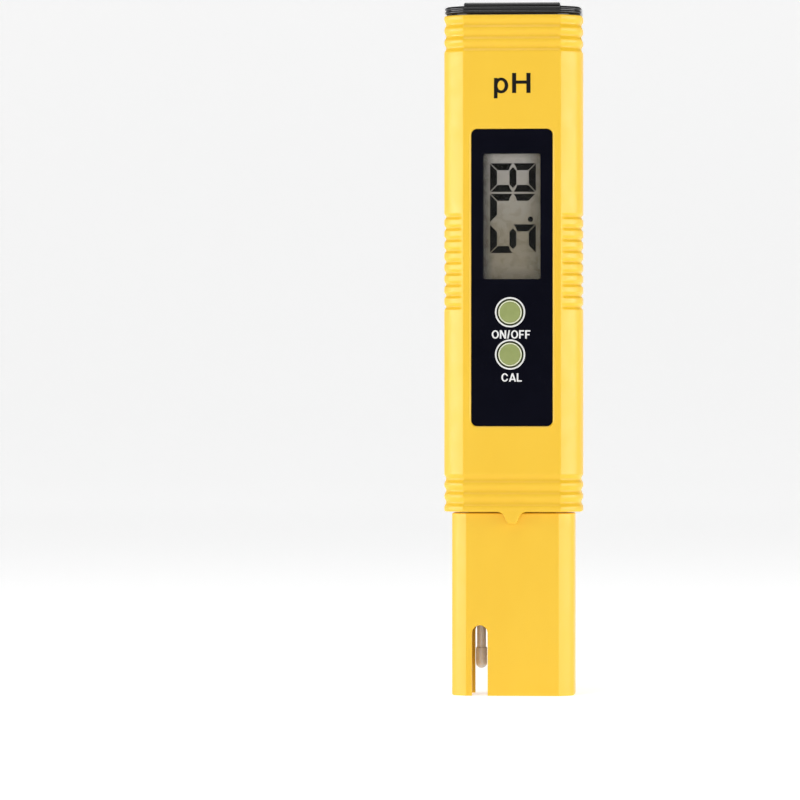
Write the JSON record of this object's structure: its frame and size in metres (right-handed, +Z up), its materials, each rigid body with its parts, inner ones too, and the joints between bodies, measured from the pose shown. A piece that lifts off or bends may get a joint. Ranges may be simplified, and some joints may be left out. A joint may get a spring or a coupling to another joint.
{
  "type": "digital ph meter",
  "caption": "Pocket digital pH meter: ribbed flat case, display and push keys in a black fascia, pull-off battery cap, slotted sleeve around a glass electrode and a probe.",
  "frame": {"origin": "centre of the electrode sleeve's bottom rim, on the plane the meter stands on", "axes": "+Z up along the meter towards the battery cap; the display faces -Y; +X to the right as the display is seen"},
  "size_m": [0.031, 0.0183, 0.155],
  "materials": {
    "case_yellow": "satin injection-moulded ABS",
    "cap_black": "semi-gloss black ABS",
    "fascia_black": "glossy back-printed panel",
    "lens_clear": "clear polished acrylic window",
    "display_film": "grey-olive polariser with dark segments",
    "display_glass": "clear sheet glass",
    "button_green": "smooth moulded key",
    "ring_white": "white trim ring",
    "rubber_black": "matte elastomer",
    "board_green": "solder mask over glass-fibre",
    "component_black": "moulded epoxy package",
    "steel_bright": "bright stainless steel",
    "nickel_plate": "nickel plate",
    "carrier_grey": "light grey moulded plastic",
    "epoxy_dark": "cast epoxy",
    "ceramic_white": "porous white ceramic"
  },
  "bodies": {
    "housing": {"front_shell": "case_yellow", "rear_shell": "case_yellow", "electrode_sleeve": "case_yellow", "fascia_panel": "fascia_black", "display_lens": "lens_clear", "onoff_ring": "ring_white", "cal_ring": "ring_white", "onoff_switch": "steel_bright", "cal_switch": "steel_bright", "display_frame": "cap_black", "display_front_glass": "display_film", "display_rear_glass": "display_glass", "display_reflector": "carrier_grey", "contact_strip_left": "rubber_black", "contact_strip_right": "rubber_black", "main_board": "board_green", "controller_chip": "component_black", "amplifier_chip": "component_black", "memory_chip": "component_black", "timing_crystal": "steel_bright", "board_screw_lower_left": "steel_bright", "board_screw_lower_right": "steel_bright", "board_screw_upper_left": "steel_bright", "board_screw_upper_right": "steel_bright", "positive_contact": "nickel_plate", "negative_contact": "nickel_plate", "sleeve_seal": "rubber_black", "electrode_carrier": "carrier_grey", "glass_electrode": "display_glass", "stem_grommet": "rubber_black", "silver_wire": "steel_bright", "reference_wire": "steel_bright", "reference_junction": "ceramic_white", "potting_plug": "epoxy_dark", "temperature_probe": "steel_bright", "electrode_lead": "rubber_black", "probe_lead": "carrier_grey"},
    "onoff_key": {"onoff_button": "button_green", "onoff_plunger": "component_black"},
    "cal_key": {"cal_button": "button_green", "cal_plunger": "component_black"},
    "battery_drawer": {"battery_cap": "cap_black", "cap_seal": "rubber_black", "battery_tray": "cap_black", "battery_cell_1": "nickel_plate", "battery_cell_2": "nickel_plate", "battery_bridge": "nickel_plate"}
  },
  "joints": [
    {"name": "onoff_press", "type": "slide", "parent": "housing", "child": "onoff_key", "axis": [0, 1, 0], "range_m": [0, 0.0004], "stiffness_N_per_m": 1500},
    {"name": "cal_press", "type": "slide", "parent": "housing", "child": "cal_key", "axis": [0, 1, 0], "range_m": [0, 0.0004], "stiffness_N_per_m": 1500},
    {"name": "battery_cap_pull", "type": "slide", "parent": "housing", "child": "battery_drawer", "axis": [0, 0, 1], "range_m": [0, 0.025]}
  ]
}
